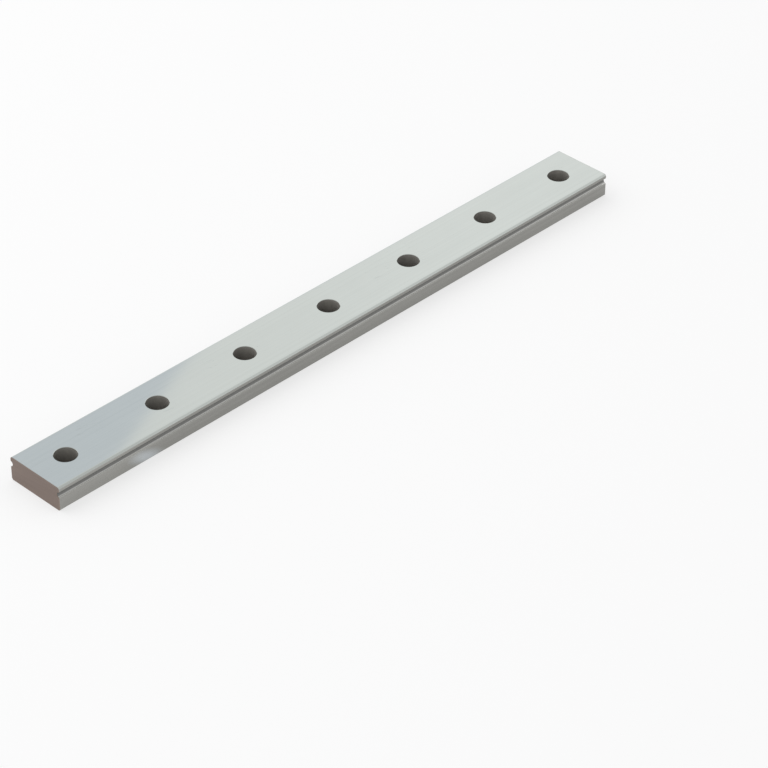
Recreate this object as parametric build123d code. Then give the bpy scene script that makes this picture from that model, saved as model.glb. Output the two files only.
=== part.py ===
from build123d import *
import math
import os

# A wide miniature linear guide rail, hardened and ground from one steel bar.
# It lies on its mounting face: +X runs along the rail, +Y across it and +Z up.
# The origin is the middle of the mounting face. All sizes are in millimetres.

# The bar
rail_length = 200.0
rail_width = 18.0
rail_height = 7.0
top_chamfer = 0.4
bottom_chamfer = 0.4
end_chamfer = 0.1

# One raceway along each side, in which a row of balls rolls
ball_diameter = 1.588
raceway_radius = 0.82
contact_angle = 45.0
raceway_drop = 2.15
ball_centre_out = 0.05
raceway_edge_break = 0.1

# The row of screw holes along the middle of the top
hole_pitch = 30.0
end_distance = 10.0
end_wall = 2.0
screw_hole_diameter = 3.5
counterbore_diameter = 6.0
counterbore_depth = 4.5
counterbore_rim_chamfer = 0.1
screw_hole_edge_break = 0.1
underside_countersink = 0.2

# Heights and places that follow from those sizes
half_width = rail_width / 2
raceway_height = rail_height - raceway_drop
seat_height = rail_height - counterbore_depth
left_end = -rail_length / 2

# The holes start one end distance from the left-hand end and go on at the
# pitch, for as long as a counterbore keeps its wall at the right-hand end.
room_for_holes = rail_length - end_distance - end_wall - counterbore_diameter / 2
hole_count = math.floor(room_for_holes / hole_pitch) + 1
hole_positions = [left_end + end_distance + i * hole_pitch for i in range(hole_count)]


def raceway_arcs():
    """The two arcs of one raceway, which meet in a crease at its bottom.

    Each arc is a little larger than the ball and touches it at the contact
    angle, so the centres of the two arcs lie apart, one above the other.
    """
    gap = raceway_radius - ball_diameter / 2
    across = half_width + ball_centre_out + gap * math.cos(math.radians(contact_angle))
    apart = gap * math.sin(math.radians(contact_angle))
    at_crease = math.degrees(math.asin(apart / raceway_radius))
    at_mouth = math.degrees(math.acos((across - half_width) / raceway_radius))
    sweep = at_mouth - at_crease
    lower = CenterArc(
        (across, raceway_height + apart), raceway_radius, 180 + at_mouth, -sweep
    )
    upper = CenterArc(
        (across, raceway_height - apart), raceway_radius, 180 - at_crease, -sweep
    )
    return lower, upper


def rail_section():
    """The section that the bar is drawn and ground to, at its left-hand end."""
    with BuildSketch(Plane.YZ.offset(left_end)) as section:
        with BuildLine():
            lower, upper = raceway_arcs()
            Polyline(
                (0, 0),
                (half_width - bottom_chamfer, 0),
                (half_width, bottom_chamfer),
                lower @ 0,
            )
            Polyline(
                upper @ 1,
                (half_width, rail_height - top_chamfer),
                (half_width - top_chamfer, rail_height),
                (0, rail_height),
            )
            mirror(about=Plane.YZ)
        make_face()
        mouths = [
            corner
            for corner in section.vertices()
            if abs(corner.Y - raceway_height) < raceway_radius
            and abs(corner.X) > half_width - raceway_edge_break
        ]
        chamfer(mouths, raceway_edge_break)
    return section.sketch


def screw_hole_space():
    """The space of one counterbored screw hole, turned about the hole's axis.

    It is drawn on the right of the axis, from under the rail to over it.
    """
    bore = screw_hole_diameter / 2
    counterbore = counterbore_diameter / 2
    with BuildPart() as space:
        with BuildSketch(Plane.XZ):
            with BuildLine():
                Polyline(
                    (0, 0),
                    (bore + underside_countersink, 0),
                    (bore, underside_countersink),
                    (bore, seat_height - screw_hole_edge_break),
                    (bore + screw_hole_edge_break, seat_height),
                    (counterbore, seat_height),
                    (counterbore, rail_height - counterbore_rim_chamfer),
                    (counterbore + counterbore_rim_chamfer, rail_height),
                    (0, rail_height),
                    close=True,
                )
            make_face()
        revolve(axis=Axis.Z)
    return space.part


def guide_rail():
    """The bar, its ends trimmed and their edges broken, with its screw holes."""
    bar = extrude(rail_section(), amount=rail_length)
    ends = bar.faces().filter_by(Axis.X)
    bar = chamfer(ends.edges(), end_chamfer)
    return bar - [Pos(x, 0, 0) * screw_hole_space() for x in hole_positions]


os.makedirs("parts", exist_ok=True)
rail = guide_rail()
export_step(rail, "parts/guide_rail.step")
print("holes:", hole_count, "at", hole_positions)
print("volume in cubic millimetres:", round(rail.volume, 1))
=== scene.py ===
# %% [markdown]
# # A miniature linear guide rail
# The object is one bar of hardened steel, 200 mm long, 18 mm wide and 7 mm high. A
# carriage runs along it on two rows of small balls, one in a groove on each side. Screws
# in a row of counterbored holes hold it down.
#
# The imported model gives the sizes, so every step below starts from its box and builds a
# finer mesh in the same place, in metres, with its origin in the middle of the underside.

# %% Load the frame
import math

import bmesh
import bpy
from mathutils import Matrix, Vector


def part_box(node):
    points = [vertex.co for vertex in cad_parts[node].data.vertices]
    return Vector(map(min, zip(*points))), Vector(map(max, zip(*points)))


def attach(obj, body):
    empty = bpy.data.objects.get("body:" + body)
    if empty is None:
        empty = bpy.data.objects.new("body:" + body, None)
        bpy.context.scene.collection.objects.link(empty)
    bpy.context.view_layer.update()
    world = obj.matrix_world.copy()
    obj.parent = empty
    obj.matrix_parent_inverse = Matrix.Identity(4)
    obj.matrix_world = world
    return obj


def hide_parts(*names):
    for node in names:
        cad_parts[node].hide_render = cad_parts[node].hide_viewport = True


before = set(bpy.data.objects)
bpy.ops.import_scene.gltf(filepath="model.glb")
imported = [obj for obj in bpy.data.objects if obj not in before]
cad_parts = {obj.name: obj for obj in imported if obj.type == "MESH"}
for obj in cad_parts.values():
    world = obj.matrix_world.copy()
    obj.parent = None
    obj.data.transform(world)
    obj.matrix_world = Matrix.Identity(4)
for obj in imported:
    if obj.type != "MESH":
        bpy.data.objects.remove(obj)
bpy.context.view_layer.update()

low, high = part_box("guide_rail")
print("the rail's box:", [round(v, 5) for v in low], [round(v, 5) for v in high])

# %% [markdown]
# ## The section
# A rail like this is drawn through a die and then ground, so its section is the same from
# end to end. It could be a grid that is pushed into shape, or a box with cuts. Drawing half
# of the section, mirroring it and extruding it is closest to the real making, and keeps
# the long faces free of needless edges.
#
# The raceway is a pointed arch of two arcs. Each arc is a little larger than the ball and
# its centre lies just past the ball's own centre, so the ball touches each arc at one
# point, at 45 degrees.

# %% Sizes of the section
mm = 0.001
micron = 0.001 * mm
length = high.x - low.x
half_width = (high.y - low.y) / 2
height = high.z - low.z
left = low.x

top_chamfer = 0.4 * mm
bottom_chamfer = 0.4 * mm
ball_radius = 1.588 / 2 * mm
raceway_radius = 0.82 * mm
raceway_height = height - 2.15 * mm
ball_centre_out = 0.05 * mm
raceway_edge_break = 0.1 * mm
contact_angle = math.radians(45)
arc_steps = 14
print("the raceways lie", round(raceway_height / mm, 3), "mm above the underside")


# %% An arc of edges and a chain of edges
def spun_arc(bm, start, centre, angle, steps):
    """An arc of edges from one vertex, turned about the rail's direction."""
    made = bmesh.ops.spin(
        bm,
        geom=[start],
        cent=centre,
        axis=(1, 0, 0),
        angle=angle,
        steps=steps,
        use_duplicate=False,
    )
    return [v for v in made["geom_last"] if isinstance(v, bmesh.types.BMVert)][0]


def chain(bm, points):
    """Joins the points with edges, one after the other."""
    for a, b in zip(points, points[1:]):
        bm.edges.new((a, b))


# %% Half of the section
def half_section(bm):
    """Half of the outline, from the middle of the underside to the middle of the top."""
    gap = raceway_radius - ball_radius
    across = half_width + ball_centre_out + gap * math.cos(contact_angle)
    apart = gap * math.sin(contact_angle)
    crease_angle = math.asin(apart / raceway_radius)
    mouth_angle = math.acos((across - half_width) / raceway_radius)
    break_angle = mouth_angle - raceway_edge_break / raceway_radius
    sweep = break_angle - crease_angle
    half_mouth = raceway_radius * math.sin(mouth_angle) - apart + raceway_edge_break

    def corner(y, z):
        return bm.verts.new((left, y, z))

    arc_start = corner(
        across - raceway_radius * math.cos(break_angle),
        raceway_height + apart - raceway_radius * math.sin(break_angle),
    )
    below = [
        corner(0, 0),
        corner(half_width - bottom_chamfer, 0),
        corner(half_width, bottom_chamfer),
        corner(half_width, raceway_height - half_mouth),
        arc_start,
    ]
    lower_centre = (left, across, raceway_height + apart)
    upper_centre = (left, across, raceway_height - apart)
    crease = spun_arc(bm, arc_start, lower_centre, -sweep, arc_steps)
    arc_end = spun_arc(bm, crease, upper_centre, -sweep, arc_steps)
    above = [
        arc_end,
        corner(half_width, raceway_height + half_mouth),
        corner(half_width, height - top_chamfer),
        corner(half_width - top_chamfer, height),
        corner(0, height),
    ]
    chain(bm, below)
    chain(bm, above)
    print("half of a raceway's mouth:", round(half_mouth / mm, 3), "mm")
    print("depth of a raceway:", round((half_width - crease.co.y) / mm, 3), "mm")


section = bmesh.new()
half_section(section)

# %% The whole section
bmesh.ops.mirror(
    section,
    geom=section.verts[:] + section.edges[:],
    axis="Y",
    merge_dist=micron,
)
bmesh.ops.remove_doubles(section, verts=section.verts, dist=micron)
bmesh.ops.contextual_create(section, geom=section.edges[:])
middles = [v for v in section.verts if abs(v.co.y) < micron]
bmesh.ops.dissolve_verts(section, verts=middles)
print("points in the section:", len(section.verts), "faces:", len(section.faces))

# %% [markdown]
# ## Rounded edges
# The mouths of the raceways already have their small chamfer, because a sharp edge would
# chip and cut the carriage's seals. No ground edge is perfectly sharp either: each corner
# of the section gets a small radius, which is what catches the light along the real rail.
# The outer corners of the mouths are rubbed a little rounder than the rest. The two top
# chamfers are rolled over until they are nearly round, because they are polished after
# the grinding. Bevelling the points of the flat section, before it is extruded, gives
# clean strips along the whole length.

# %% Round the corners of the section
corner_width = 0.05 * mm
mouth_width = 0.08 * mm
rolled_width = 0.25 * mm
least_turn = 25


def turn_at(point):
    """How far the outline turns at a point, in degrees."""
    a, b = (e.other_vert(point).co - point.co for e in point.link_edges)
    return 180 - math.degrees(a.angle(b))


def round_off(bm, geom, affect, width, segments):
    """Rounds points or edges off with a bevel."""
    bmesh.ops.bevel(
        bm,
        geom=geom,
        offset=width,
        offset_type="OFFSET",
        affect=affect,
        segments=segments,
        profile=0.5,
        material=-1,
    )


corners = [v for v in section.verts if turn_at(v) > least_turn]
top_corners = [v for v in corners if v.co.z > height - top_chamfer - micron]
mouth_corners = [
    v
    for v in corners
    if abs(v.co.y) > half_width - micron
    and abs(v.co.z - raceway_height) < raceway_radius + raceway_edge_break
]
other_corners = [v for v in corners if v not in top_corners + mouth_corners]
print("corners at the top:", len(top_corners))
print("corners at the mouths:", len(mouth_corners))
print("other corners:", len(other_corners))
round_off(section, other_corners, "VERTICES", corner_width, segments=3)
round_off(section, mouth_corners, "VERTICES", mouth_width, segments=4)
round_off(section, top_corners, "VERTICES", rolled_width, segments=6)
print("points in the rounded section:", len(section.verts))

# %% [markdown]
# ## The bar
# Extruding the section's face along the rail makes a closed bar at once. The real bar is
# cut to length with an abrasive wheel, and the burr is taken off its ends: a small
# rounded bevel on the two end outlines does that.

# %% Extrude the section and take the burr off its ends
end_break = 0.1 * mm
straight = 0.999

bar = section
pushed = bmesh.ops.extrude_face_region(bar, geom=bar.faces[:])
far_points = [v for v in pushed["geom"] if isinstance(v, bmesh.types.BMVert)]
bmesh.ops.translate(bar, verts=far_points, vec=(length, 0, 0))
bmesh.ops.recalc_face_normals(bar, faces=bar.faces)
end_faces = [f for f in bar.faces if abs(f.normal.x) > straight]
end_outline = [e for f in end_faces for e in f.edges]
round_off(bar, end_outline, "EDGES", end_break, segments=2)
print("faces in the bar:", len(bar.faces))

# %% [markdown]
# ## The screw holes
# Each hole is drilled through and then counterbored from the top, so that the head of a
# socket screw sinks below the surface that the carriage passes over. The space of one
# hole is a turned shape: half of its outline is spun about the hole's axis. It could be
# made with cylinders as well, but one spun outline has the countersink, the seat and the
# rims in it. It reaches past both faces, so that the cut leaves no skin.

# %% Sizes of a screw hole
hole_pitch = 30 * mm
end_distance = 10 * mm
hole_radius = 3.5 / 2 * mm
counterbore_radius = 6.0 / 2 * mm
counterbore_depth = 4.5 * mm
rim_chamfer = 0.1 * mm
seat_edge_break = 0.1 * mm
underside_countersink = 0.2 * mm
rim_round = 0.03 * mm
seat_fillet = 0.15 * mm
reach_past = 0.5 * mm
turned_steps = 96

seat_height = height - counterbore_depth
hole_count = round((length - 2 * end_distance) / hole_pitch) + 1
hole_places = [left + end_distance + i * hole_pitch for i in range(hole_count)]
print("screw holes:", hole_count, "seat at", round(seat_height / mm, 3), "mm")


# %% Spin the space of one screw hole
def outline_of_hole(bm):
    """Half of the hole's outline, in the plane of its axis, from under to over the rail."""
    flare = hole_radius + underside_countersink
    rim = counterbore_radius + rim_chamfer
    outline = [
        (0, -reach_past),
        (flare, -reach_past),
        (flare, 0),
        (hole_radius, underside_countersink),
        (hole_radius, seat_height - seat_edge_break),
        (hole_radius + seat_edge_break, seat_height),
        (counterbore_radius, seat_height),
        (counterbore_radius, height - rim_chamfer),
        (rim, height),
        (rim, height + reach_past),
        (0, height + reach_past),
    ]
    chain(bm, [bm.verts.new((r, 0, z)) for r, z in outline])


def round_ring(bm, radius, z, width, segments):
    """Rounds the ring of edges at this radius and height."""
    ring = [
        e
        for e in bm.edges
        if all(
            abs(v.co.xy.length - radius) < micron and abs(v.co.z - z) < micron
            for v in e.verts
        )
    ]
    round_off(bm, ring, "EDGES", width, segments)


def hole_space():
    """The closed, turned space of one screw hole, about the world's Z axis."""
    bm = bmesh.new()
    outline_of_hole(bm)
    bmesh.ops.spin(
        bm,
        geom=bm.verts[:] + bm.edges[:],
        cent=(0, 0, 0),
        axis=(0, 0, 1),
        angle=2 * math.pi,
        steps=turned_steps,
        use_merge=True,
        use_duplicate=False,
    )
    bmesh.ops.remove_doubles(bm, verts=bm.verts, dist=micron)
    bmesh.ops.recalc_face_normals(bm, faces=bm.faces)
    round_ring(bm, counterbore_radius, seat_height, seat_fillet, segments=4)
    round_ring(bm, counterbore_radius, height - rim_chamfer, rim_round, segments=2)
    return bm


one_hole = hole_space()
print("faces in one hole:", len(one_hole.faces))


# %% Repeat it along the rail
def as_object(bm, name):
    """An object with the bmesh as its mesh. The bmesh is freed."""
    mesh = bpy.data.meshes.new(name)
    bm.to_mesh(mesh)
    bm.free()
    made = bpy.data.objects.new(name, mesh)
    bpy.context.collection.objects.link(made)
    return made


holes = bmesh.new()
template = bpy.data.meshes.new("one_hole")
one_hole.to_mesh(template)
one_hole.free()
for x in hole_places:
    before = len(holes.verts)
    holes.from_mesh(template)
    holes.verts.ensure_lookup_table()
    bmesh.ops.translate(holes, verts=holes.verts[before:], vec=(x, 0, 0))
bpy.data.meshes.remove(template)
hole_tools = as_object(holes, "hole_tools")
rail = as_object(bar, "ground_rail")
print("faces in the spaces of all holes:", len(hole_tools.data.polygons))

# %% [markdown]
# ## Drilling
# A Boolean modifier takes the seven spaces away from the bar. The exact solver keeps the
# result closed, and the tools only cross the flat top and the flat underside, so the cut
# leaves no slivers. The result is kept as the mesh and the tools are thrown away.

# %% Cut the holes
cut = rail.modifiers.new("screw_holes", "BOOLEAN")
cut.operation = "DIFFERENCE"
cut.solver = "EXACT"
cut.object = hole_tools
evaluated = rail.evaluated_get(bpy.context.evaluated_depsgraph_get())
drilled = bpy.data.meshes.new_from_object(evaluated)
rail.modifiers.clear()
uncut, rail.data = rail.data, drilled
tools_mesh = hole_tools.data
bpy.data.objects.remove(hole_tools)
bpy.data.meshes.remove(tools_mesh)
bpy.data.meshes.remove(uncut)
rail.data.name = "ground_rail"

checked = bmesh.new()
checked.from_mesh(rail.data)
open_edges = sum(not e.is_manifold for e in checked.edges)
volume = checked.calc_volume()
checked.free()
print("open edges:", open_edges, "volume in mm3:", round(volume / mm**3, 1))

# %% [markdown]
# ## Which face has which finish
# The rail is one piece of steel, but each face was made in another way, and it shows: the
# top and its chamfers are ground fine, the sides and the underside coarser, the raceways
# are honed, the ends are cut, and the holes are turned. So the one mesh carries several
# materials, and each face takes its own by where it lies. Flat faces stay flat. Round
# ones are shaded smooth, with a sharp edge wherever two faces turn by more than 30
# degrees and where the bevel of an end begins.

# %% Sort the faces
finishes = ["top", "sides", "raceways", "ends", "holes", "underside"]
near_face = 5 * micron
wall_radius = counterbore_radius + rim_chamfer / 4
rim_radius = counterbore_radius + rim_chamfer
groove_side = half_width - 0.8 * raceway_edge_break
end_lean = 0.1


def finish_of(face):
    """The finish of a face, from the middle of the face and its normal."""
    middle = face.calc_center_median()
    upright = abs(face.normal.z) > straight
    if upright and middle.z > height - near_face:
        return "top"
    if upright and middle.z < near_face:
        return "underside"
    from_hole = min(math.hypot(middle.x - x, middle.y) for x in hole_places)
    if from_hole < wall_radius:
        return "holes"
    if from_hole < rim_radius:
        return "top"
    if abs(face.normal.x) > end_lean:
        return "ends"
    if middle.z > height - top_chamfer:
        return "top"
    in_groove = abs(middle.z - raceway_height) < raceway_radius
    if in_groove and abs(middle.y) < groove_side:
        return "raceways"
    return "sides"


shape = bmesh.new()
shape.from_mesh(rail.data)
shape.normal_update()
counted = dict.fromkeys(finishes, 0)
for face in shape.faces:
    finish = finish_of(face)
    counted[finish] += 1
    face.material_index = finishes.index(finish)
print("faces by finish:", counted)

# %% Shade them flat or smooth
wide_face = 20 * mm**2
sharp_turn = math.radians(30)
least_lean = 0.01


def is_smooth(face):
    """Turned and honed faces are smooth, and so are narrow strips that lean."""
    if finishes[face.material_index] in ("raceways", "holes"):
        return True
    level = max(abs(part) for part in face.normal) > straight
    return not level and face.calc_area() <= wide_face


def starts_end_bevel(edge):
    """Whether the edge is between a long face of the bar and the bevel of an end."""
    leaning = [abs(face.normal.x) > least_lean for face in edge.link_faces]
    near_end = abs(edge.verts[0].co.x) > length / 2 - 2 * end_break
    return near_end and leaning[0] != leaning[1]


for face in shape.faces:
    face.smooth = is_smooth(face)
for edge in shape.edges:
    edge.smooth = edge.calc_face_angle(0) < sharp_turn and not starts_end_bevel(edge)
print("smooth faces:", sum(face.smooth for face in shape.faces))
shape.to_mesh(rail.data)
shape.free()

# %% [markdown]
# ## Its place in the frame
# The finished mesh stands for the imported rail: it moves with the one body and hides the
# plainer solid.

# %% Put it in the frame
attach(rail, "root")
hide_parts("guide_rail")
print("polygons in", rail.name, len(rail.data.polygons))

# %% [markdown]
# ## Helpers for nodes
# A material is a small graph. A few helpers keep the cells below short: one adds a node
# with its settings and inputs, and the next three add the nodes that come back most, which
# are a sum, a sum of vectors and a noise. One more starts a node group with named inputs
# and outputs, and the last places such a group in a material.

# %% Node helpers
VECTOR = "NodeSocketVector"
NUMBER = "NodeSocketFloat"


def node(tree, kind, settings=None, inputs=None):
    """A new node. An input is given a number, a colour or another node's output."""
    made = tree.nodes.new(kind)
    for name, value in (settings or {}).items():
        setattr(made, name, value)
    for key, value in (inputs or {}).items():
        if isinstance(value, bpy.types.NodeSocket):
            tree.links.new(value, made.inputs[key])
        else:
            made.inputs[key].default_value = value
    return made


def maths(tree, operation, *values):
    """The result of a sum, such as ADD or SINE, on numbers."""
    inputs = dict(enumerate(values))
    return node(tree, "ShaderNodeMath", {"operation": operation}, inputs).outputs[0]


def vector_maths(tree, operation, *values, result="Vector"):
    """The result of a sum on vectors: a vector, or a number where result is Value."""
    inputs = dict(enumerate(values))
    made = node(tree, "ShaderNodeVectorMath", {"operation": operation}, inputs)
    return made.outputs[result]


def noise(tree, vector, scale, detail, roughness=0.5, distortion=0.0):
    """A noise that changes from place to place, between 0 and 1."""
    inputs = {
        "Vector": vector,
        "Scale": scale,
        "Detail": detail,
        "Roughness": roughness,
        "Distortion": distortion,
    }
    return node(tree, "ShaderNodeTexNoise", inputs=inputs).outputs[0]


def new_group(name, inputs, outputs):
    """A shader node group. Each input is a name, a kind of socket and a value."""
    tree = bpy.data.node_groups.new(name, "ShaderNodeTree")
    for label, kind, value in inputs:
        socket = tree.interface.new_socket(label, in_out="INPUT", socket_type=kind)
        if value is not None:
            socket.default_value = value
    for label in outputs:
        tree.interface.new_socket(label, in_out="OUTPUT", socket_type=NUMBER)
    entry = tree.nodes.new("NodeGroupInput")
    leave = tree.nodes.new("NodeGroupOutput")
    print("group", name, "with sockets", [s.name for s in tree.interface.items_tree])
    return tree, entry.outputs, leave.inputs


def place_group(tree, group, inputs):
    """The outputs of a group that is placed in a tree."""
    return node(tree, "ShaderNodeGroup", {"node_tree": group}, inputs).outputs


# %% [markdown]
# ## Grinding lines
# A grinding wheel leaves very fine parallel lines, some darker and some lighter, and wider
# faint bands where one pass met the next. A noise that is squeezed across the lines and
# stretched along them gives both. The group takes how many lines there are to a metre in
# each direction, so one group serves faces that were ground, cut or honed in different
# directions.

# %% The grinding lines group
grinding, given, result = new_group(
    "grinding_lines",
    [("Vector", VECTOR, None), ("Lines Per Metre", VECTOR, (30, 9000, 9000))],
    ["Lines", "Bands"],
)
line_scale = 0.45
band_scale = 0.13
squeezed = vector_maths(grinding, "MULTIPLY", given["Vector"], given["Lines Per Metre"])
fine = noise(grinding, squeezed, line_scale, detail=4.0, roughness=0.7)
broad = noise(grinding, squeezed, band_scale, detail=1.0)
grinding.links.new(fine, result["Lines"])
grinding.links.new(broad, result["Bands"])

# %% [markdown]
# ## Oil film and fine scratches
# A steel rail is kept from rust with a thin film of oil, which dries into soft clouds, and
# it picks up a few hair-fine scratches when it is handled. The clouds are plain noise.
# Each scratch is the narrow middle level of a second noise, stretched at a slant, and is
# kept only where a third noise is high, so that the scratches stay few and short.


# %% The handling group
def distance(tree, a, b):
    """How far apart two numbers are."""
    return maths(tree, "ABSOLUTE", maths(tree, "SUBTRACT", a, b))


def fading(tree, value, full, none):
    """A mask that is 1 where the value is full and fades softly to 0 where it is none."""
    return node(
        tree,
        "ShaderNodeMapRange",
        {"interpolation_type": "SMOOTHSTEP"},
        {"Value": value, "From Min": full, "From Max": none, "To Min": 1.0, "To Max": 0.0},
    ).outputs[0]


handling, given, result = new_group(
    "oil_and_scratches",
    [("Vector", VECTOR, None), ("Cloud Scale", NUMBER, 60.0), ("Slant", NUMBER, 0.5)],
    ["Clouds", "Scratches"],
)
clouds = noise(
    handling,
    given["Vector"],
    given["Cloud Scale"],
    detail=4.0,
    roughness=0.55,
    distortion=0.4,
)

scratch_stretch = (70, 1500, 1500)
scratch_width = 0.012
scratch_contrast = 80.0
slanted = node(
    handling,
    "ShaderNodeVectorRotate",
    {"rotation_type": "Z_AXIS"},
    {"Vector": given["Vector"], "Angle": given["Slant"]},
).outputs[0]
stretched = vector_maths(handling, "MULTIPLY", slanted, scratch_stretch)
ridges = noise(handling, stretched, scale=1.0, detail=0.0)
thin = maths(handling, "SUBTRACT", scratch_width, distance(handling, ridges, 0.5))
hair = maths(handling, "MAXIMUM", maths(handling, "MULTIPLY", thin, scratch_contrast), 0.0)
where = noise(handling, given["Vector"], scale=95.0, detail=1.0)
few = fading(handling, where, full=0.7, none=0.6)
scratches = maths(handling, "MULTIPLY", hair, few)
handling.links.new(clouds, result["Clouds"])
handling.links.new(scratches, result["Scratches"])

# %% [markdown]
# ## The grain of the steel
# Hardened steel isn't perfectly even: under the lines there are tiny pits and grains. A
# fine noise gives the grains, and the middles of the cells of a Voronoi pattern give the
# pits. Every finish uses the grains to break up its reflections a little, and all but the
# honed one use the pits as well.

# %% The grain group
grain, given, result = new_group(
    "steel_grain",
    [("Vector", VECTOR, None), ("Grains Per Metre", NUMBER, 9000.0)],
    ["Grain", "Pits"],
)
pits_to_grains = 0.22
pit_size = 0.16
mottle = noise(grain, given["Vector"], given["Grains Per Metre"], detail=2.0)
pits_per_metre = maths(grain, "MULTIPLY", given["Grains Per Metre"], pits_to_grains)
cells = node(
    grain,
    "ShaderNodeTexVoronoi",
    inputs={"Vector": given["Vector"], "Scale": pits_per_metre},
)
pits = fading(grain, cells.outputs["Distance"], full=0.0, none=pit_size)
grain.links.new(mottle, result["Grain"])
grain.links.new(pits, result["Pits"])

# %% [markdown]
# ## Edges rubbed in use
# Edges are touched most, so they look a little different from the middle of a face. On a
# straight bar the distance to the nearest edge is simply how far the point is from the
# sides of a rectangle, so the group measures that, and needs no baked map.


# %% The rubbed edges group
def parts_of(tree, vector):
    """The X, Y and Z of a vector."""
    return node(tree, "ShaderNodeSeparateXYZ", inputs={0: vector}).outputs


rubbed, given, result = new_group(
    "rubbed_edges",
    [
        ("Vector", VECTOR, None),
        ("Half Length", NUMBER, length / 2),
        ("Half Width", NUMBER, half_width),
        ("Reach", NUMBER, 0.5 * mm),
    ],
    ["Edge"],
)
x, y = parts_of(rubbed, given["Vector"])[:2]
from_end = maths(rubbed, "SUBTRACT", given["Half Length"], maths(rubbed, "ABSOLUTE", x))
from_side = maths(rubbed, "SUBTRACT", given["Half Width"], maths(rubbed, "ABSOLUTE", y))
nearest = maths(rubbed, "MINIMUM", from_end, from_side)
edge = fading(rubbed, nearest, full=0.0, none=given["Reach"])
rubbed.links.new(edge, result["Edge"])

# %% [markdown]
# ## Turned marks in the holes
# The counterbore is cut by a tool that turns, so its marks run round the hole: rings on
# the seat and a fine thread-like lay on the wall. The holes repeat at one pitch, so the
# place along the rail is wrapped at that pitch, and one pattern serves all seven. The
# distance from the hole's axis and the height then drive a noise, which also changes
# slowly along the rail, so that no two holes are alike. The group also puts out the angle
# round the axis, because shade is painted darker on some sides of the holes.


# %% The turned marks group
def vector_of(tree, x, y, z):
    """A vector from its X, Y and Z."""
    return node(tree, "ShaderNodeCombineXYZ", inputs={0: x, 1: y, 2: z}).outputs[0]


turned, given, result = new_group(
    "turned_marks",
    [("Vector", VECTOR, None), ("Rings Per Metre", NUMBER, 14000.0)],
    ["Rings", "Around"],
)
feed_per_radian = 0.02 * mm
change_per_metre = 25.0
x, y, z = parts_of(turned, given["Vector"])
from_first = maths(turned, "SUBTRACT", x, hole_places[0])
from_axis = maths(turned, "WRAP", from_first, hole_pitch / 2, -hole_pitch / 2)
radius = vector_maths(turned, "LENGTH", vector_of(turned, from_axis, y, 0.0), result="Value")
angle = maths(turned, "ARCTAN2", y, from_axis)
feed = maths(turned, "ADD", z, maths(turned, "MULTIPLY", angle, feed_per_radian))
lay = vector_of(
    turned,
    maths(turned, "MULTIPLY", radius, given["Rings Per Metre"]),
    maths(turned, "MULTIPLY", feed, given["Rings Per Metre"]),
    maths(turned, "MULTIPLY", x, change_per_metre),
)
rings = noise(turned, lay, scale=1.0, detail=2.0)
turned.links.new(rings, result["Rings"])
turned.links.new(angle, result["Around"])

# %% [markdown]
# ## One recipe for the finishes
# All finishes are the same steel, so they share one recipe: a metal shader whose colour,
# roughness and bump are nudged by the patterns above. A noise swings about a half, so a
# half is taken off it before it is weighed, and a mask is weighed as it is. The bump is as
# high as real marks are, from a twentieth of a micrometre on the top to two micrometres
# on the ends: any more and the top wouldn't mirror the room as clearly as it does.

# %% The recipe
least_roughness = 0.02


def empty_tree(owner):
    """The node tree of a material or a world, with nothing in it."""
    owner.use_nodes = True
    owner.node_tree.nodes.clear()
    return owner.node_tree


def new_material(name):
    """A material, its empty tree, and the place of a point on the object."""
    made = bpy.data.materials.new(name)
    tree = empty_tree(made)
    return made, tree, node(tree, "ShaderNodeTexCoord").outputs["Object"]


def swapped(tree, place, order, shift=(0, 0, 0)):
    """The same place with its axes in another order, after a shift."""
    parts = parts_of(tree, vector_maths(tree, "ADD", place, shift))
    return vector_of(tree, *(parts["XYZ".index(axis)] for axis in order))


def nudged(tree, start, noises=(), masks=()):
    """A number that is raised or lowered by noises and masks, each with its weight."""
    middled = [(maths(tree, "SUBTRACT", pattern, 0.5), weight) for pattern, weight in noises]
    total = start
    for pattern, weight in [*middled, *masks]:
        total = maths(tree, "ADD", total, maths(tree, "MULTIPLY", pattern, weight))
    return total


def steel_finish(
    material, colour, tone, roughness, relief, depth, metallic=1.0, gloss=0.5
):
    """The shader of a finish: its colour times its tone, its roughness and its bump."""
    tree = material.node_tree
    shade = node(
        tree, "ShaderNodeVectorMath", {"operation": "SCALE"}, {0: colour, "Scale": tone}
    )
    bump = node(
        tree,
        "ShaderNodeBump",
        inputs={"Strength": 1.0, "Distance": depth, "Height": relief},
    )
    shader = node(
        tree,
        "ShaderNodeBsdfPrincipled",
        inputs={
            "Base Color": shade.outputs[0],
            "Metallic": metallic,
            "Specular IOR Level": gloss,
            "Roughness": maths(tree, "MAXIMUM", roughness, least_roughness),
            "Normal": bump.outputs[0],
        },
    )
    node(tree, "ShaderNodeOutputMaterial", inputs={"Surface": shader.outputs[0]})
    print("finish", material.name, "with", len(tree.nodes), "nodes")


# %% [markdown]
# ## The top
# The top and its chamfers are the finest ground faces. They are almost a mirror for the
# room, so their look comes from a low roughness and from very slight bands along the
# rail. Their edges are a little rougher and darker. Shade is painted on them as well:
# they are painted darker near the left end, and where they roll over to the sides. The
# colour is a light steel with a trace of green.

# %% The top's finish
painted_end_full = 14 * mm
painted_end_none = 36 * mm
roll_full = 0.32 * mm
roll_none = 0.12 * mm


def painted_left_end(tree, place):
    """A mask of the left end, where light and shade are painted on the rail."""
    along = parts_of(tree, place)[0]
    return fading(tree, along, left + painted_end_full, left + painted_end_none)


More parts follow.
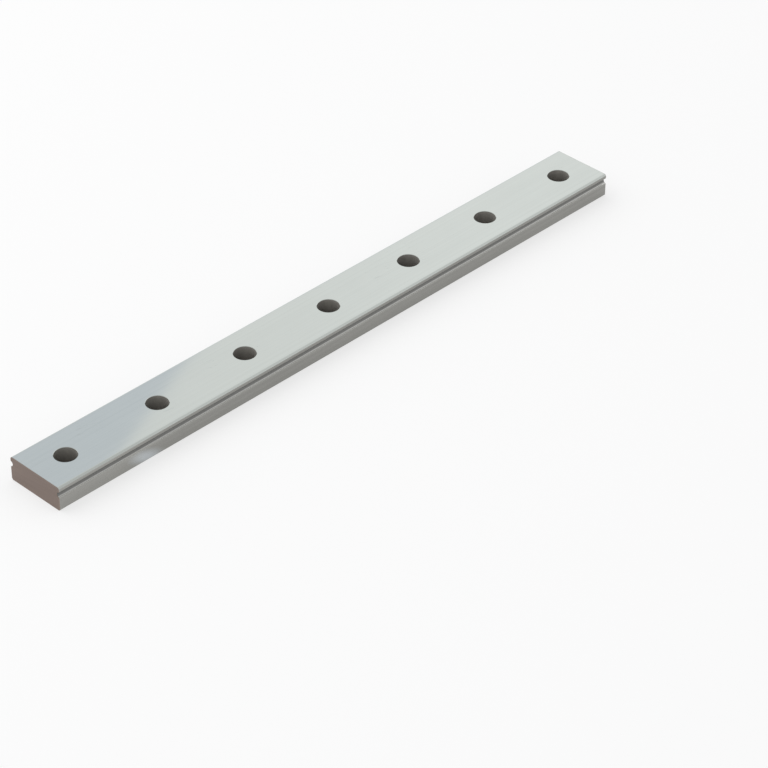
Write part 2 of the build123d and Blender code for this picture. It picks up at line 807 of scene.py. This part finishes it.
top_steel, tree, place = new_material("top_steel")
lines = place_group(tree, grinding, {"Vector": place, "Lines Per Metre": (26, 8500, 8500)})
marks = place_group(tree, handling, {"Vector": place, "Cloud Scale": 55.0, "Slant": 0.35})
steel = place_group(tree, grain, {"Vector": place})
edges = place_group(
    tree,
    rubbed,
    {
        "Vector": place,
        "Half Length": length / 2,
        "Half Width": half_width - top_chamfer,
        "Reach": 0.35 * mm,
    },
)
# Painted shade: the top's edges are painted darker near the left end.
painted_edge_shade = maths(tree, "MULTIPLY", edges["Edge"], painted_left_end(tree, place))
point_height = parts_of(tree, place)[2]
# Painted shade: the rolled edge of the top is painted darker.
painted_roll_shade = fading(tree, point_height, height - roll_full, height - roll_none)
steel_finish(
    top_steel,
    colour=(0.588, 0.622, 0.597),
    tone=nudged(
        tree,
        0.98,
        noises=[(lines["Lines"], 0.09), (lines["Bands"], 0.06), (marks["Clouds"], 0.05)],
        masks=[
            (marks["Scratches"], -0.12),
            (edges["Edge"], -0.05),
            (painted_edge_shade, -0.1),
            (painted_roll_shade, -0.06),
        ],
    ),
    roughness=nudged(
        tree,
        0.035,
        noises=[(lines["Bands"], 0.02), (marks["Clouds"], 0.02)],
        masks=[(marks["Scratches"], 0.12), (edges["Edge"], 0.12)],
    ),
    relief=nudged(
        tree,
        0.0,
        noises=[(lines["Lines"], 1.0), (steel["Grain"], 0.15)],
        masks=[(steel["Pits"], -0.4), (marks["Scratches"], -1.5)],
    ),
    depth=0.045 * micron,
)

# %% [markdown]
# ## Painted light and shade on the sides
# Three marks are painted on the sides. The lip above the groove is painted darker, as
# painted shade. The mouth of the groove is painted a little lighter, as a painted
# highlight. And one small place on the right side is painted lighter and cooler, as a
# painted reflection. The three could be painted as pictures, but masks that are worked
# out from the place of a point need no picture and stay smooth close up. The painted
# reflection is a soft slanting blob: a mask of the distance from its middle, measured in
# its own length, depth and height.

# %% Masks for the sides
lip_height = height - 1.3 * mm
lip_reach = 0.7 * mm
mouth_half_height = 0.86 * mm
mouth_full = 0.02 * mm
mouth_none = 0.2 * mm
# The painted reflection: a lighter, cooler patch on the right side.
reflection_patch_place = (left + 28.1 * mm, -half_width, 1.5 * mm)
patch_length = 6 * mm
patch_depth = 3 * mm
patch_height = 3.6 * mm
patch_slant = 1.2


def painted_lip_shade(tree, place):
    """A mask of the lip above the groove, where shade is painted."""
    from_lip = distance(tree, parts_of(tree, place)[2], lip_height)
    return fading(tree, from_lip, full=0.0, none=lip_reach)


def painted_mouth_highlight(tree, place):
    """A mask of the two edges of the groove's mouth, where a highlight is painted."""
    from_groove = distance(tree, parts_of(tree, place)[2], raceway_height)
    from_mouth = distance(tree, from_groove, mouth_half_height)
    return fading(tree, from_mouth, mouth_full, mouth_none)


def painted_reflection_patch(tree, place):
    """A mask of the place on the right side where a reflection is painted."""
    x, y, z = parts_of(tree, vector_maths(tree, "SUBTRACT", place, reflection_patch_place))
    slanted = maths(tree, "ADD", x, maths(tree, "MULTIPLY", z, patch_slant))
    scaled = vector_of(
        tree,
        maths(tree, "DIVIDE", slanted, patch_length),
        maths(tree, "DIVIDE", y, patch_depth),
        maths(tree, "DIVIDE", z, patch_height),
    )
    from_middle = vector_maths(tree, "LENGTH", scaled, result="Value")
    return fading(tree, from_middle, full=0.05, none=1.0)


print("middle of the wiped place, in mm:", [round(v / mm, 1) for v in reflection_patch_place])

# %% [markdown]
# ## The sides
# The sides are ground with a coarser wheel, so they are duller and their lines are easier
# to see. They run along the rail as well. Their colour is darker than the top's, partly
# from the coarser wheel and partly as painted shade, added to the shade of the floor they
# mirror. The left end is painted a little lighter, as painted light. The clouds are laid
# out on the side's own length and height.

# %% The sides' finish
# The side's colour is darker partly from the coarser grinding and partly as painted shade.
side_colour_with_painted_shade = (0.289, 0.287, 0.27, 1)
reflection_patch_colour = (0.472, 0.498, 0.512, 1)

side_steel, tree, place = new_material("side_steel")
on_side = swapped(tree, place, "XZY", (0, 0, -height / 2))
lines = place_group(tree, grinding, {"Vector": place, "Lines Per Metre": (40, 5200, 5200)})
marks = place_group(tree, handling, {"Vector": on_side, "Cloud Scale": 75.0, "Slant": 0.2})
steel = place_group(tree, grain, {"Vector": place})
edges = place_group(
    tree,
    rubbed,
    {
        "Vector": on_side,
        "Half Length": length / 2,
        "Half Width": height / 2,
        "Reach": 0.3 * mm,
    },
)
# Painted reflection: the side's colour turns lighter and cooler in one patch.
side_colour = node(
    tree,
    "ShaderNodeMix",
    {"data_type": "RGBA"},
    {0: painted_reflection_patch(tree, place), 6: side_colour_with_painted_shade, 7: reflection_patch_colour},
).outputs[2]
steel_finish(
    side_steel,
    colour=side_colour,
    tone=nudged(
        tree,
        1.0,
        noises=[(lines["Lines"], 0.3), (lines["Bands"], 0.16), (marks["Clouds"], 0.12)],
        masks=[
            (marks["Scratches"], -0.1),
            (edges["Edge"], 0.1),
            # Painted light: the left end of the sides is painted lighter.
            (painted_left_end(tree, place), 0.14),
            # Painted shade: the lip above the groove is painted darker.
            (painted_lip_shade(tree, place), -0.1),
            # Painted highlight: the mouth of the groove is painted lighter.
            (painted_mouth_highlight(tree, place), 0.07),
        ],
    ),
    roughness=nudged(
        tree,
        0.24,
        noises=[(lines["Lines"], 0.12), (marks["Clouds"], 0.1)],
        masks=[(edges["Edge"], -0.05)],
    ),
    relief=nudged(
        tree,
        0.0,
        noises=[(lines["Lines"], 1.0), (steel["Grain"], 0.2)],
        masks=[(steel["Pits"], -0.4), (marks["Scratches"], -1.0)],
    ),
    depth=0.6 * micron,
)

# %% [markdown]
# ## The raceways
# The balls roll here, so the grooves are honed after grinding and have lines only along
# the rolling direction. The wheel doesn't reach the crease at the bottom of the pointed
# arch, which the balls never touch either, so it is rougher. It is also painted darker, as
# painted shade, so each groove shows as a dark line. The flank below it is painted
# lighter, as a painted highlight, which is lightest at the mouth. How deep a point lies in
# the groove is simply its distance from the rail's side.

# %% The raceways' finish
crease_shade_full = 0.66 * mm
crease_shade_none = 0.26 * mm
crease_shade_ragged = 0.2 * mm
highlight_full = 0.15 * mm
highlight_none = 0.42 * mm

raceway_steel, tree, place = new_material("raceway_steel")
on_side = swapped(tree, place, "XZY")
lines = place_group(tree, grinding, {"Vector": place, "Lines Per Metre": (18, 14000, 14000)})
marks = place_group(tree, handling, {"Vector": on_side, "Cloud Scale": 80.0})
steel = place_group(tree, grain, {"Vector": place, "Grains Per Metre": 14000.0})
from_middle = maths(tree, "ABSOLUTE", parts_of(tree, place)[1])
depth_in = maths(tree, "SUBTRACT", half_width, from_middle)
ragged = nudged(tree, depth_in, noises=[(lines["Bands"], crease_shade_ragged)])
# Painted shade: the crease of each groove is painted darker, and rougher.
scale = fading(tree, ragged, crease_shade_full, crease_shade_none)
# Painted highlight: the flank below the crease is painted lighter towards the mouth.
painted_flank_highlight = fading(tree, depth_in, highlight_full, highlight_none)
steel_finish(
    raceway_steel,
    colour=(0.542, 0.542, 0.523),
    tone=nudged(
        tree,
        1.0,
        noises=[(lines["Lines"], 0.08), (marks["Clouds"], 0.08)],
        masks=[(scale, -0.65), (painted_flank_highlight, 0.08)],
    ),
    roughness=nudged(
        tree,
        0.16,
        noises=[(lines["Lines"], 0.05), (marks["Clouds"], 0.05)],
        masks=[(scale, 0.3)],
    ),
    relief=nudged(
        tree,
        0.0,
        noises=[(lines["Lines"], 1.0), (steel["Grain"], 0.1)],
    ),
    depth=0.15 * micron,
)

# %% [markdown]
# ## The cut ends
# The bar is cut to length with a thin abrasive wheel after it is hardened. The wheel
# leaves lines across the end, a little out of level. They aren't polished away, because
# nothing runs over the ends. Their colour is painted: its brown is a painted reflection
# of a brownish floor, and its darkness is painted shade.

# %% The ends' finish
wheel_slant = math.radians(7)

cut_steel, tree, place = new_material("cut_steel")
tilted = node(
    tree,
    "ShaderNodeVectorRotate",
    {"rotation_type": "X_AXIS"},
    {"Vector": place, "Angle": wheel_slant},
).outputs[0]
on_end = swapped(tree, place, "YZX", (0, 0, -height / 2))
lines = place_group(tree, grinding, {"Vector": tilted, "Lines Per Metre": (200, 260, 6500)})
marks = place_group(tree, handling, {"Vector": on_end, "Cloud Scale": 160.0})
steel = place_group(tree, grain, {"Vector": place, "Grains Per Metre": 7000.0})
edges = place_group(
    tree,
    rubbed,
    {
        "Vector": on_end,
        "Half Length": half_width,
        "Half Width": height / 2,
        "Reach": 0.35 * mm,
    },
)
steel_finish(
    cut_steel,
    # Painted reflection and shade: the ends' dark brown colour.
    colour=(0.231, 0.181, 0.157),
    tone=nudged(
        tree,
        1.0,
        noises=[(lines["Lines"], 0.3), (lines["Bands"], 0.2), (marks["Clouds"], 0.1)],
        masks=[(edges["Edge"], 0.17)],
    ),
    roughness=nudged(
        tree,
        0.4,
        noises=[(lines["Lines"], 0.12), (marks["Clouds"], 0.1)],
        masks=[(edges["Edge"], -0.1)],
    ),
    relief=nudged(
        tree,
        0.0,
        noises=[(lines["Lines"], 1.0), (steel["Grain"], 0.3)],
        masks=[(steel["Pits"], -0.3)],
    ),
    depth=2.0 * micron,
)

# %% [markdown]
# ## The screw holes' finish
# The holes are drilled and counterbored before the steel is hardened, and nothing grinds
# them afterwards. They keep the marks of their tool under a dark, dull scale, which is an
# oxide and hardly a metal to the light. Shade is painted on it as well: it is painted
# darker towards the bottom, and on two sides of each hole, more on one of them. So the far
# wall is brown-grey near the top, where the room's light still reaches it, and nearly
# black at the bottom. Only the rim's small chamfer is bright, because it was polished
# together with the top.

# %% The holes' finish
least_shade_angle = math.radians(44)

hole_steel, tree, place = new_material("hole_steel")
rounds = place_group(tree, turned, {"Vector": place})
marks = place_group(tree, handling, {"Vector": place, "Cloud Scale": 190.0})
steel = place_group(tree, grain, {"Vector": place, "Grains Per Metre": 7000.0})
# Painted shade: the hole is painted darker towards the bottom.
painted_depth_shade = fading(tree, parts_of(tree, place)[2], seat_height, height)
# Painted shade: the hole is painted darker on two sides, more on one of them.
painted_one_side_shade = maths(tree, "SINE", maths(tree, "SUBTRACT", rounds["Around"], least_shade_angle))
painted_two_side_shade = maths(tree, "ABSOLUTE", painted_one_side_shade)
steel_finish(
    hole_steel,
    colour=(0.351, 0.336, 0.308),
    tone=nudged(
        tree,
        1.0,
        noises=[(rounds["Rings"], 0.25), (marks["Clouds"], 0.2)],
        masks=[(painted_depth_shade, -0.15), (painted_two_side_shade, -0.36), (painted_one_side_shade, -0.08)],
    ),
    roughness=nudged(
        tree,
        0.6,
        noises=[(rounds["Rings"], 0.15), (marks["Clouds"], 0.12)],
    ),
    relief=nudged(
        tree,
        0.0,
        noises=[(rounds["Rings"], 1.0), (steel["Grain"], 0.25)],
        masks=[(steel["Pits"], -0.3)],
    ),
    depth=1.5 * micron,
    metallic=0.1,
    gloss=0.2,
)

# %% [markdown]
# ## The underside
# The mounting face is ground flat and true, but not as fine as the top, and it shows the
# handling most, because it has lain on benches. Nobody sees it in use.

# %% The underside's finish
under_steel, tree, place = new_material("under_steel")
lines = place_group(tree, grinding, {"Vector": place, "Lines Per Metre": (34, 6000, 6000)})
marks = place_group(tree, handling, {"Vector": place, "Cloud Scale": 45.0, "Slant": -0.5})
steel = place_group(tree, grain, {"Vector": place})
edges = place_group(
    tree,
    rubbed,
    {
        "Vector": place,
        "Half Length": length / 2,
        "Half Width": half_width - bottom_chamfer,
        "Reach": 0.5 * mm,
    },
)
steel_finish(
    under_steel,
    colour=(0.47, 0.48, 0.462),
    tone=nudged(
        tree,
        1.0,
        noises=[(lines["Lines"], 0.14), (lines["Bands"], 0.12), (marks["Clouds"], 0.16)],
        masks=[(marks["Scratches"], -0.2), (edges["Edge"], 0.1)],
    ),
    roughness=nudged(
        tree,
        0.2,
        noises=[(lines["Lines"], 0.08), (marks["Clouds"], 0.14)],
        masks=[(marks["Scratches"], 0.15)],
    ),
    relief=nudged(
        tree,
        0.0,
        noises=[(lines["Lines"], 1.0), (steel["Grain"], 0.2)],
        masks=[(steel["Pits"], -0.5), (marks["Scratches"], -1.5)],
    ),
    depth=0.4 * micron,
)

# %% [markdown]
# ## The finishes on the faces
# On the real rail every face has its finish from the way it was made. Here a face keeps
# only the number of its finish, so the materials go onto the mesh in the order of the
# list of finishes.

# %% Give the finishes to the faces
for finish_steel in (top_steel, side_steel, raceway_steel, cut_steel, hole_steel, under_steel):
    rail.data.materials.append(finish_steel)
print("materials:", [m.name for m in rail.data.materials])

# %% [markdown]
# ## The floor
# The rail lies on a plain pale floor. Its colour is a very light grey in a plain diffuse
# material. Rays from the camera, and rays mirrored in the steel, also see some of it as
# plain white, so the background stays white and the soft shadow stays in it.

# %% The floor
floor_half = 3.0
floor_gap = 0.01 * mm
white_share = 0.65

floor_shape = bmesh.new()
bmesh.ops.create_grid(floor_shape, x_segments=8, y_segments=8, size=floor_half)
bmesh.ops.translate(floor_shape, verts=floor_shape.verts, vec=(0, 0, -floor_gap))
floor = as_object(floor_shape, "floor")

floor_paint = bpy.data.materials.new("floor_paint")
tree = empty_tree(floor_paint)
rays = node(tree, "ShaderNodeLightPath").outputs
seen = maths(tree, "ADD", rays["Is Camera Ray"], rays["Is Glossy Ray"])
seen = maths(tree, "ADD", seen, rays["Is Transmission Ray"])
seen = maths(tree, "MULTIPLY", maths(tree, "MINIMUM", seen, 1.0), white_share)
paint = node(tree, "ShaderNodeBsdfDiffuse", inputs={"Color": (0.9, 0.9, 0.9, 1)})
white = node(tree, "ShaderNodeEmission", inputs={"Color": (1, 1, 1, 1), "Strength": 1.0})
both = node(
    tree,
    "ShaderNodeMixShader",
    inputs={0: seen, 1: paint.outputs[0], 2: white.outputs[0]},
)
node(tree, "ShaderNodeOutputMaterial", inputs={"Surface": both.outputs[0]})
floor.data.materials.append(floor_paint)
print("the floor is", 2 * floor_half, "m wide")

# %% [markdown]
# ## The room
# Polished steel has hardly a colour of its own: it shows the room. The room here is a soft
# white studio, a little brighter behind the rail than in front of it, and brighter again
# on the right, which the rolled edges and the far end of the top mirror. In the photograph
# the near end of the top mirrors a cooler, darker part of the room with a clear slanting
# edge. A picture of a room would do that too, but it would bring much else with it. So
# the world holds one cool panel there: a plane gives its clear edge, and it fades out
# away from its middle.


# %% Directions in the room
def bearing(azimuth, elevation):
    """A direction from its azimuth and elevation, in degrees."""
    a, e = math.radians(azimuth), math.radians(elevation)
    return (math.cos(a) * math.cos(e), math.sin(a) * math.cos(e), math.sin(e))


def towards(tree, direction, aim):
    """How much a direction agrees with another."""
    return vector_maths(tree, "DOT_PRODUCT", direction, aim, result="Value")


# %% The room's light
horizon_level = 1.02
least_level = 0.5
most_level = 1.08
panel_plane = (-0.35314, 0.78808, -0.50420)
panel_softness = 0.002
panel_full = math.cos(math.radians(10))
panel_none = math.cos(math.radians(30))
panel_tint = (0.803, 0.835, 0.895, 1)

world = bpy.data.worlds.new("studio")
bpy.context.scene.world = world
tree = empty_tree(world)
place = node(tree, "ShaderNodeTexCoord").outputs["Generated"]
direction = vector_maths(tree, "NORMALIZE", place)
back = towards(tree, direction, bearing(azimuth=44, elevation=0))
up = towards(tree, direction, (0, 0, 1))
from_right = towards(tree, direction, bearing(azimuth=-10, elevation=25))
on_right = fading(tree, from_right, full=0.76, none=0.6)
level = nudged(tree, horizon_level, masks=[(back, 0.27), (up, -0.4), (on_right, 0.08)])
level = node(
    tree,
    "ShaderNodeClamp",
    inputs={"Value": level, "Min": least_level, "Max": most_level},
).outputs[0]
from_plane = towards(tree, direction, panel_plane)
panel_side = fading(tree, from_plane, panel_softness, -panel_softness)
from_panel = towards(tree, direction, bearing(azimuth=54, elevation=38))
panel_fade = fading(tree, from_panel, panel_full, panel_none)
tint = node(
    tree,
    "ShaderNodeMix",
    {"data_type": "RGBA"},
    {0: maths(tree, "MULTIPLY", panel_side, panel_fade), 6: (1, 1, 1, 1), 7: panel_tint},
).outputs[2]
glow = node(tree, "ShaderNodeBackground", inputs={"Color": tint, "Strength": level})
node(tree, "ShaderNodeOutputWorld", inputs={"Surface": glow.outputs[0]})
print("nodes in the room's light:", len(tree.nodes))

# %% [markdown]
# ## The lamp
# One large soft lamp from behind and to the left gives the light a direction, so the floor
# in front of the rail lies in a soft shadow, which the sides mirror as a darker grey. The
# polished top would show the lamp itself as a white disc from some sides, so the lamp is
# kept out of mirrored rays.

# %% The lamp
lamp_distance = 1.2
lamp_place = Vector(bearing(azimuth=115, elevation=50)) * lamp_distance
lamp_data = bpy.data.lights.new("soft_lamp", "AREA")
lamp_data.shape = "DISK"
lamp_data.size = 1.4
lamp_data.energy = 6.2
lamp = bpy.data.objects.new("soft_lamp", lamp_data)
bpy.context.collection.objects.link(lamp)
lamp.location = lamp_place
lamp.rotation_euler = lamp_place.to_track_quat("Z", "Y").to_euler()
lamp.visible_camera = False
lamp.visible_glossy = False
print("the lamp hangs at", [round(v, 3) for v in lamp_place])

# %% [markdown]
# ## The camera
# The camera looks down on the rail from its near left end, with a long lens, at the angle
# and in the frame of the photograph. Its place and its three axes were worked out from
# where the rail's edges and holes lie there.

# %% The camera
camera_place = (-0.45044123, -0.45768282, 0.44932922)
right = Vector((0.69960029, -0.71451015, 0.00588904))
upward = Vector((0.41724031, 0.41519659, 0.80840727))
backward = Vector((-0.58006031, -0.56310481, 0.58859409))
lens_data = bpy.data.cameras.new("view")
lens_data.lens = 140.114
lens_data.sensor_width = 36
lens_data.clip_start = 0.01
lens_data.clip_end = 20
view = bpy.data.objects.new("view", lens_data)
bpy.context.collection.objects.link(view)
turn = Matrix((right, upward, backward)).transposed().to_4x4()
view.matrix_world = Matrix.Translation(camera_place) @ turn
bpy.context.scene.camera = view
bpy.context.scene.view_settings.view_transform = "Standard"
print("the camera is", round(Vector(camera_place).length, 3), "m from the rail's middle")
